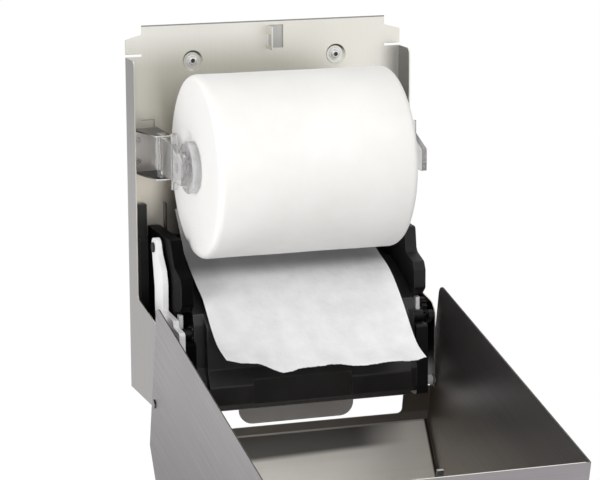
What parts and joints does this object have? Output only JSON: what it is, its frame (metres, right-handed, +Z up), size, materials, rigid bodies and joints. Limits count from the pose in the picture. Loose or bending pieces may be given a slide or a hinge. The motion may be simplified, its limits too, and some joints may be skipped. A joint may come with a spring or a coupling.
{
  "type": "roll towel dispenser",
  "caption": "Wall-mounted steel roll towel dispenser with hinged cover, sprung clear roll arms, and a push paddle that drives a geared feed roller.",
  "frame": {"origin": "middle of the four wall-screw holes, on the wall surface", "axes": "+Y into the wall, +Z up, +X to the right of a person facing it"},
  "size_m": [0.2984, 0.4811, 0.5683],
  "materials": {
    "plate_steel": "satin stainless sheet",
    "cover_steel": "brushed stainless sheet",
    "hardware_steel": "plain zinc-bright steel",
    "spring_steel": "bright drawn wire",
    "clear_plastic": "clear moulded polycarbonate",
    "towel_paper": "embossed white crepe towel",
    "core_board": "plain spiral board",
    "black_plastic": "fine moulded grain",
    "white_plastic": "smooth acetal",
    "grey_plastic": "moulded, light grain",
    "roller_rubber": "ground rubber"
  },
  "bodies": {
    "frame": {"back_plate": "plate_steel", "bracket_left": "plate_steel", "bracket_right": "plate_steel", "bracket_rivets": "hardware_steel", "arm_pin_left": "hardware_steel", "arm_pin_right": "hardware_steel", "arm_spring_left": "spring_steel", "arm_spring_right": "spring_steel", "towel_tail": "towel_paper", "chassis_back": "black_plastic", "chassis_screws": "hardware_steel", "cheek_left": "black_plastic", "cheek_right": "black_plastic", "paper_deck": "black_plastic", "nose_cover": "black_plastic", "tear_bar": "hardware_steel", "lever_pin_left": "black_plastic", "lever_pin_right": "black_plastic", "lever_clips": "black_plastic", "return_spring": "spring_steel", "pinch_bushes": "black_plastic", "pinch_clip_left": "white_plastic", "pinch_clip_right": "white_plastic", "hinge_pin_left": "hardware_steel", "hinge_pin_right": "hardware_steel", "hinge_bush_left": "white_plastic", "hinge_bush_right": "white_plastic"},
    "left_arm": {"arm_left": "clear_plastic"},
    "right_arm": {"arm_right": "clear_plastic"},
    "left_hub": {"hub_left": "clear_plastic"},
    "right_hub": {"hub_right": "clear_plastic"},
    "roll": {"roll_core": "core_board", "towel_roll": "towel_paper"},
    "lever": {"push_lever_left": "white_plastic", "push_lever_right": "white_plastic", "feed_sector": "black_plastic", "sector_screws": "hardware_steel", "cross_bar": "black_plastic", "push_paddle": "grey_plastic", "paddle_screws": "hardware_steel"},
    "feed_roller": {"feed_shaft": "hardware_steel", "feed_sleeves": "roller_rubber", "feed_pinion": "black_plastic"},
    "pinch_roller": {"pinch_shaft": "hardware_steel", "pinch_sleeves": "roller_rubber"},
    "cover": {"cover_shell": "cover_steel", "lock_body": "hardware_steel", "lock_nut": "hardware_steel"},
    "cam": {"lock_cam": "hardware_steel"}
  },
  "joints": [
    {"name": "cover_swing", "type": "hinge", "parent": "frame", "child": "cover", "pos_m": [0, -0.1032, -0.2435], "axis": [-1, 0, 0], "range_deg": [0, 103]},
    {"name": "roll_spin", "type": "hinge", "parent": "frame", "child": "roll", "pos_m": [0, -0.107, -0.0095], "axis": [1, 0, 0], "continuous": true},
    {"name": "left_arm_swing", "type": "hinge", "parent": "frame", "child": "left_arm", "pos_m": [-0.122, -0.05, -0.0075], "axis": [0, 0, -1], "range_deg": [0, 12], "stiffness_Nm_per_rad": 0.5, "springref_deg": -17.19},
    {"name": "right_arm_swing", "type": "hinge", "parent": "frame", "child": "right_arm", "pos_m": [0.122, -0.05, -0.0075], "axis": [0, 0, 1], "range_deg": [0, 12], "stiffness_Nm_per_rad": 0.5, "springref_deg": -17.19},
    {"name": "left_hub_spin", "type": "hinge", "parent": "left_arm", "child": "left_hub", "pos_m": [0, -0.107, -0.0095], "axis": [1, 0, 0], "continuous": true},
    {"name": "right_hub_spin", "type": "hinge", "parent": "right_arm", "child": "right_hub", "pos_m": [0, -0.107, -0.0095], "axis": [1, 0, 0], "continuous": true},
    {"name": "lever_push", "type": "hinge", "parent": "frame", "child": "lever", "pos_m": [0, -0.061, -0.0955], "axis": [1, 0, 0], "range_deg": [0, 11], "stiffness_Nm_per_rad": 1.5, "springref_deg": -8.59, "deforming": ["return_spring"]},
    {"name": "feed_spin", "type": "hinge", "parent": "frame", "child": "feed_roller", "pos_m": [0, -0.09157, -0.17116], "axis": [1, 0, 0], "range_deg": [0, 104.5]},
    {"name": "pinch_spin", "type": "hinge", "parent": "frame", "child": "pinch_roller", "pos_m": [0, -0.12097, -0.17116], "axis": [1, 0, 0], "range_deg": [-148.05, 0]},
    {"name": "cam_turn", "type": "hinge", "parent": "cover", "child": "cam", "pos_m": [0.014, -0.45571, -0.2436], "axis": [0, -0.9744, -0.225], "range_deg": [0, 50]}
  ],
  "couplings": [
    {"joint": "left_hub_spin", "follows": "roll_spin", "ratio": 1},
    {"joint": "right_hub_spin", "follows": "roll_spin", "ratio": 1},
    {"joint": "feed_spin", "follows": "lever_push", "ratio": 9.5},
    {"joint": "pinch_spin", "follows": "lever_push", "ratio": -13.458}
  ]
}
